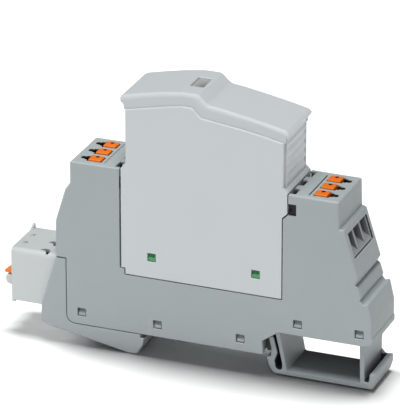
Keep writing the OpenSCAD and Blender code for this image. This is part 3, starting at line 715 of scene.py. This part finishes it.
latch = thing("latch", prism([(x, z, r, 0.22) for x, z, r in LATCH], D0, D0 + 14, m=3))
cut(latch, prism([(20.3, 7, 0, 0), (22.6, -4.6, 0.6, 0), (42.7, -4.6, 0.5, 0), (42.4, 7, 0, 0)], D0 - 1, D0 + 15, front=False, back=False))
latch_bm = bmesh.new()
latch_bm.from_mesh(latch.data)
bpy.data.objects.remove(latch)
web = prism([(43.3, -4.4, 0, 0), (45.4, -4.4, 0, 0), (45.6, -1.6, 0, 0), (44.6, -1.4, 0, 0), (43.3, 0.2, 0, 0)], D0 + 12.8, D0 + 14, front=False, back=False)
add(foot, prism([(x, z, 0, 0) for x, z in FLOOR_PART], WALL + 0.1, W - WALL - 0.1, front=False, back=False))
add(foot, latch_bm)
add(foot, web)
add(foot, box(-38.4, -36.2, WALL + 0.1, W - WALL - 0.1, 0, 2.7))
# a sheet that closes the see-through gap between the housing's end and the nose; the foot's painted shade makes it
# near-black
add(foot, box(16.72, 18.3, D0 + 1, D0 + 3, 0.1, 4.1))


def lug(x, z, l, t, start=0.35):
    """A snap lug whose flat side is below and whose ramp rises inward."""
    rings = []
    for xx in (x - l / 2, x + l / 2):
        rings.append([(xx * MM, (YF + d) * MM, (z - l / 2 + h) * MM) for d, h in ((t + 0.2, 0), (start, 0), (start, 0.55), (start + 0.12, 0.8), (t + 0.2, l))])
    return join_rings(rings)


ribs = []
for x, z in SNAP:
    ribs.append(box(x - 1.3, x + 1.3, WALL + 0.1, WALL + 0.75, z - 2.3, z + 2))
    ribs.append(box(x - 1.3, x + 1.3, W - WALL - 0.75, W - WALL - 0.1, z - 2.3, z + 2))
for r in ribs:
    add(foot, r)
for x, z in SNAP:
    add(foot, lug(x, z, 1.9, WALL))
    add(foot, mirror_y(lug(x, z, 1.9, WALL)))
smooth(foot)
place(foot, "base", M_FOOT, "housing_grey", "base_foot")

# ------------------------------------------------------------------ plug
CAP_TOP = [
    (-23.1, 65.9, 0.6, 0.9), (-21.9, 66.6, 1, 1.0), (-17.5, 67.6, 6, 1.0), (-11.6, 68.8, 6, 1.0), (-6, 69.6, 4, 1.0),
    (-1.6, 69.6, 1.8, 1.0), (1.2, 67.1, 2.2, 1.0), (5.1, 66.6, 6, 1.0), (10.8, 65.6, 8, 1.0), (16.6, 64.5, 8, 1.0),
    (22.4, 63.2, 0.9, 0.9), (23.2, 62.4, 0.45, 0.6),
]
CAP_LINE = [
    (-21.9, 62.6, 0), (-17.5, 63.6, 0), (-10.8, 65, 0), (-6, 65.9, 2), (-3, 65.8, 1.4), (-0.7, 63.4, 1), (2.8, 62.9, 0),
    (10.6, 61.9, 0), (16.6, 60.9, 0), (22.1, 59.7, 0),
]
cap_keys = CAP_TOP + [(22.9, 61.6, 0.3, 0.3), (22.1, 60.8, 0.2, 0.12)]
cap_keys += [(x, z + 0.02, r, 0.12) for x, z, r in reversed(CAP_LINE)]
cap_keys += [(-22, 64, 0.2, 0.3), (-22.9, 64.8, 0.3, 0.6)]
cap = thing("plug_frame_shell", prism(cap_keys, 0, W, m=5))
core = [(-21.6, 62, 0, 0.1)] + [(x, z - 0.6 + 1.5, 0, 0.1) for x, z, r in CAP_LINE[1:-1]] + [
    (22.1, 60.9, 0, 0.1), (22.1, 46.9, 0.4, 0.1), (22.9, 46.1, 0.3, 0.1), (22.9, 40.55, 0, 0.1), (21.5, 39.25, 0, 0.1),
    (21.5, FLOOR + GAP, 0, 0.1), (-21.7, FLOOR + GAP, 0, 0.1), (-21.7, 18.3, 0, 0.1), (-22.85, 18.3, 0, 0.1), (-22.85, 46.6, 0.3, 0.1),
    (-22, 47.4, 0.4, 0.1), (-22, 63.9, 0, 0.1)]
add(cap, prism(core, COVER, W - COVER))
FRAME_HOLLOW = [(-20.2, 10), (-20.2, 62.2), (-10.8, 64.6), (-6, 65.4), (-3.2, 65.2), (-0.9, 62.8), (10.6, 61.2), (20, 59.4), (20, 10)]
cut(cap, prism([(x, z, 0, 0) for x, z in FRAME_HOLLOW], COVER - 0.5, W - COVER + 0.5, front=False, back=False))


def draft_cut():
    """Takes a wedge off the lower part of the cap's side, so that it leans in towards the cover's edge."""
    line = [(-24.5, 62.0)] + [(x, z) for x, z, t in inset([(-30, 50, 0, 0), (-24.5, 62.0, 0, 0)] + [(x, z, r, 0) for x, z, r in CAP_LINE] + [(24.5, 59.1, 0, 0), (30, 50, 0, 0)], 0, 5)[2:-2]] + [(24.5, 59.1)]
    return join_rings([[(x * MM, (YF + d) * MM, (z + h) * MM) for d, h in ((-1, -0.2), (0.42, -0.2), (0.4, 0), (0, 2.6), (-1, 2.6))] for x, z in line])


cut(cap, draft_cut())
cut(cap, mirror_y(draft_cut()))
cut(cap, stack([(64, -4, 8.8, 1.8, 3.2, 0.25), (69.35, -4, 8.8, 1.8, 3.2, 0.25), (69.62, -4, 8.8, 2.05, 3.45, 0.45), (72, -4, 8.8, 2.05, 3.45, 0.45)]))
PITCH, LOW, RIB = 2.55, 47.1, 0.32
wave = [(22.1 - RIB * (0.5 + 0.5 * math.cos(2 * math.pi * i / 14)), LOW + PITCH * i / 14) for i in range(14 * 5 + 1)]
for s in (1, -1):
    band = [(24, LOW)] + wave + [(24, wave[-1][1])]
    cut(cap, join_rings([[(s * x * MM, (YF + d) * MM, z * MM) for x, z in band] for d in (COVER + 0.75, W - COVER - 0.75)]))
    for d in (COVER, W - COVER - 0.4):
        cut(cap, box(21.3, 24, d, d + 0.4, 46.9, 60.8) if s > 0 else box(-24, -21.2, d, d + 0.4, 47.6, 62.6))
cut(cap, box(-24, 24, COVER, W - COVER, 10, FLOOR + GAP + 2.4))
smooth(cap)
place(cap, "plug", M_PLUG, "plug_grey", "plug_frame")

COVER_KEYS = [(x, z, r, 0.45) for x, z, r in CAP_LINE[1:-1]] + [
    (21.0, 59.95, 0, 0.45), (21.65, 59.82, 0.2, 0.3), (21.65, 47.35, 0.4, 0.15), (22.9, 46.1, 0.4, 0.12), (22.9, 40.55, 0.1, 0.1), (21.5, 39.25, 0.1, 0.1),
    (21.5, FLOOR + GAP, 0.1, 0.1), (-21.7, FLOOR + GAP, 0.1, 0.1), (-21.7, 18.3, 0.1, 0.1), (-22.85, 18.3, 0.1, SEAM),
    (-22.85, 46.3, 0.6, 0.12), (-21.5, 47.6, 0.4, 0.15), (-21.5, 62.7, 0.2, 0.3), (-20.8, 62.85, 0, 0.45)]
covers = []
for node, back in (("plug_cover_front", False), ("plug_cover_rear", True)):
    c = thing(node + "_panel", prism(COVER_KEYS, 0, COVER, back=False))
    cut(c, [flared("d", COVER + 1, 0, x, z, 1.2, 1.2, 0.12, 0.1) for x, z in PLUG_SNAP])
    if back:
        bm = bmesh.new()
        bm.from_mesh(c.data)
        mirror_y(bm)
        bm.to_mesh(c.data)
        bm.free()
    smooth(c)
    place(c, "plug", M_PLUG, "plug_grey", node)
    covers.append(c)

lens = thing("status_window", soft_box(-5.75, -2.25, 5.65, 11.95, 66.1, 69.2, 0.25, 0.12))
smooth(lens)
place(lens, "plug", M_LENS, "lens_grey", "status_lens")

# ------------------------------------------------------------------ buttons
for side in ("left", "right"):
    for i, d in enumerate(POLES):
        node = "button_%s_%d" % (side, i + 1)
        b = thing(node + "_cap", soft_box(29.35, 32.85, d - 1.6, d + 1.6, 41, TOP + 0.35, 0.3, 0.22))
        add(b, box(28.5, 32.85, d - 1.4, d + 1.4, 42.8, TOP - WALL - GAP))
        add(b, prism([(29.4, 41.2, 0, 0), (32.7, 41.2, 0, 0), (32.7, 36, 0, 0), (31.6, 33.14, 0, 0), (30.6, 32.98, 0, 0), (29.4, 36, 0, 0)],
                     d - 1.4, d + 1.4, front=False, back=False))
        cut(b, stack([(TOP - 1.2, 31.1, d + 0.8, 0.5, 0.5, 0.49), (TOP + 0.28, 31.1, d + 0.8, 0.52, 0.52, 0.51), (TOP + 0.351, 31.1, d + 0.8, 0.58, 0.58, 0.57), (TOP + 2, 31.1, d + 0.8, 0.58, 0.58, 0.57)], n=6))
        if side == "left":
            bm = bmesh.new()
            bm.from_mesh(b.data)
            mirror_x(bm)
            bm.to_mesh(b.data)
            bm.free()
        smooth(b)
        place(b, node, M_ORANGE, "button_orange", node)

# ------------------------------------------------------------------ signal connector
C0, C1 = W / 2 - 7.5, W / 2 + 7.5
conn = thing("signal_connector_shell", prism([(C0, 3, 0.4, 0.3), (C1, 3, 0.4, 0.3), (C1, 18.1, 0.6, 0.3), (C0, 18.1, 1.4, 0.3)], -54.5, -38.8, axis="x"))
add(conn, prism([(C0, 2.5, 0.3, 0.2), (C1, 2.5, 0.3, 0.2), (C1, 18.1, 0.5, 0.2), (C0, 18.1, 1.2, 0.2)], -54.8, -53.9, axis="x"))
add(conn, prism([(C1 - 3, 17.7, 0, 0.08), (C1, 17.7, 0, 0.08), (C1, 19.15, 0.15, 0.08), (C1 - 0.5, 19.15, 0.15, 0.08)], -54.8, -54.15, axis="x"))
for d in SIG:
    add(conn, prism([(-54.5, 9.8, 0, 0.3), (-56.6, 9.8, 0.6, 0.3), (-56.9, 8.8, 0.8, 0.3), (-56.5, 7.4, 0.8, 0.3), (-54.5, 6.8, 0, 0.3)], d - 1.7, d + 1.7))
inner = []
for d in SIG:
    inner.append(box(-47, -38, d - 1.3, d + 1.3, 8.7, 11.3))
    inner.append(box(-56, -50.6, d - 1.9, d + 1.9, 9.9, 12.7))
    inner.append(flared("x", -50, -54.8, d, 15.2, 1.5, 1.6, 0.3, 0.25))
for t in inner:
    cut(conn, t)
cut(conn, [box(-50.2, -47.4, d - 1.5, d + 1.5, 12, 16.8) for d in SIG])
for d in SIG:
    # recess for a test probe: open on its far side only, round a post of the same moulding
    moon = thing("moon", oval_cut(-45.5, d - 1.15, 16.4, 20, 1.4, 1.5))
    cut(moon, oval_cut(-46.35, d - 2.45, 16, 21, 1.45, 1.6))
    if d == SIG[0]:
        cut(moon, box(-48, -42, -2, C0 + 0.35, 15, 22))
    moon_bm = bmesh.new()
    moon_bm.from_mesh(moon.data)
    bpy.data.objects.remove(moon)
    cut(conn, box(-46.7, -43.5, max(d - 3.2, C0 + 0.6), d + 0.6, 12.6, 17.2))
    cut(conn, moon_bm)
for d in (SIG[0] + 2.2, SIG[1] + 2.2):
    # small sunk steps between the poles
    cut(conn, prism([(-53.2, 18.05, 0, 0), (-52.2, 17.3, 0, 0), (-52.0, 17.3, 0, 0), (-52.0, 19, 0, 0), (-53.2, 19, 0, 0)], d - 0.6, d + 0.6, front=False, back=False))
smooth(conn)
place(conn, "connector", M_CONN, "connector_grey", "connector_housing")

for i, d in enumerate(SIG):
    node = "connector_lever_%d" % (i + 1)
    l = thing(node + "_tab", prism([(-54.9, 12.3, 0.3, 0.25), (-51.9, 12.3, 0.1, 0.25), (-51.9, 10.2, 0.1, 0.25), (-57.18, 10.2, 0.3, 0.25), (-57.28, 10.8, 0.3, 0.25)],
                                   d - 1.4, d + 1.4))
    smooth(l)
    place(l, node, M_ORANGE, "button_orange", node)

# ------------------------------------------------------------------ floor and light
FLOOR_Z = cad_lo[2]
fl = bmesh.new()
bmesh.ops.create_grid(fl, x_segments=2, y_segments=2, size=6.0, matrix=Matrix.Translation((0, 0, FLOOR_Z)))
floor = thing("studio_floor", fl)
m, nt, sh, vec = begin("studio_paper")
nt.links.new(mix_colours(nt, ramp(nt, noise(nt, vec, 3, 2), 0.3, 0.7, 0, 1), (0.90, 0.90, 0.90), (0.93, 0.93, 0.93)), sh.inputs["Base Color"])
sh.inputs["Roughness"].default_value = 0.9
sh.inputs["Specular IOR Level"].default_value = 0.1
floor.data.materials.append(m)

world = bpy.data.worlds.new("studio")
world.use_nodes = True
world.node_tree.nodes["Background"].inputs[0].default_value = (1, 1, 1, 1)
world.node_tree.nodes["Background"].inputs[1].default_value = 0.12
scene.world = world


# The paper has a light of its own, so that it is white and the contact shadow under the device stays dark
off_paper = bpy.data.collections.new("off_paper")
off_paper.objects.link(floor)
for entry in off_paper.collection_objects:
    entry.light_linking.link_state = "EXCLUDE"
paper_only = bpy.data.collections.new("paper_only")
paper_only.objects.link(floor)
plug_only = bpy.data.collections.new("plug_only")
for o in [cap, lens] + covers:
    plug_only.objects.link(o)
base_only = bpy.data.collections.new("base_only")
for o in (housing, foot):
    base_only.objects.link(o)


def area(name, at, to, size, power, receivers=off_paper):
    data = bpy.data.lights.new(name, "AREA")
    data.shape = "RECTANGLE"
    data.size, data.size_y = size
    data.energy = power
    o = bpy.data.objects.new(name, data)
    scene.collection.objects.link(o)
    o.location = at
    o.rotation_mode = "QUATERNION"
    o.rotation_quaternion = (Vector(to) - Vector(at)).to_track_quat("-Z", "Y")
    o.light_linking.receiver_collection = receivers
    return o


area("paper_softbox", (-0.05, 0.135, 1.3), (0.0, 0, 0.03), (0.52, 0.32), 17.7, paper_only)
area("paper_side_softbox", (-1.2, 0.25, 0.5), (-0.05, 0, 0), (0.5, 0.3), 12, paper_only)
area("top_softbox", (0.0, -0.36, 1.28), (0, 0, 0.03), (0.8, 0.5), 15.5)
area("left_softbox", (-1.1, -0.12, 0.95), (0, 0, 0.04), (0.7, 0.7), 5)
area("front_softbox", (-0.15, -1.5, 0.22), (0, 0, 0.03), (1.3, 0.4), 4.5)
area("right_softbox", (1.4, -0.3, 0.7), (0, 0, 0.04), (0.6, 0.5), 1.8)
area("plug_softbox", (1.35, -0.15, 0.1), (0, 0, 0.055), (0.6, 0.2), 5.4, plug_only)
area("block_softbox", (0.02, -0.02, 1.3), (0, 0, 0.04), (0.5, 0.4), 4.5, base_only)

# ------------------------------------------------------------------ camera
AZ, EL = math.radians(21.5), math.radians(23.5)
DIST, F_PX = 1.1, 4251.0
target = Vector((-0.00433, 0, 0.0340))
back = Vector((math.sin(AZ) * math.cos(EL), -math.cos(AZ) * math.cos(EL), math.sin(EL)))
data = bpy.data.cameras.new("camera")
camera = bpy.data.objects.new("camera", data)
scene.collection.objects.link(camera)
data.sensor_width = 36.0
data.lens = F_PX * 36.0 / 419.0
data.clip_start, data.clip_end = 0.05, 30
camera.location = target + back * DIST
camera.rotation_mode = "QUATERNION"
camera.rotation_quaternion = (-back).to_track_quat("-Z", "Y")
scene.camera = camera
scene.view_settings.view_transform = "Standard"
scene.view_settings.look = "None"
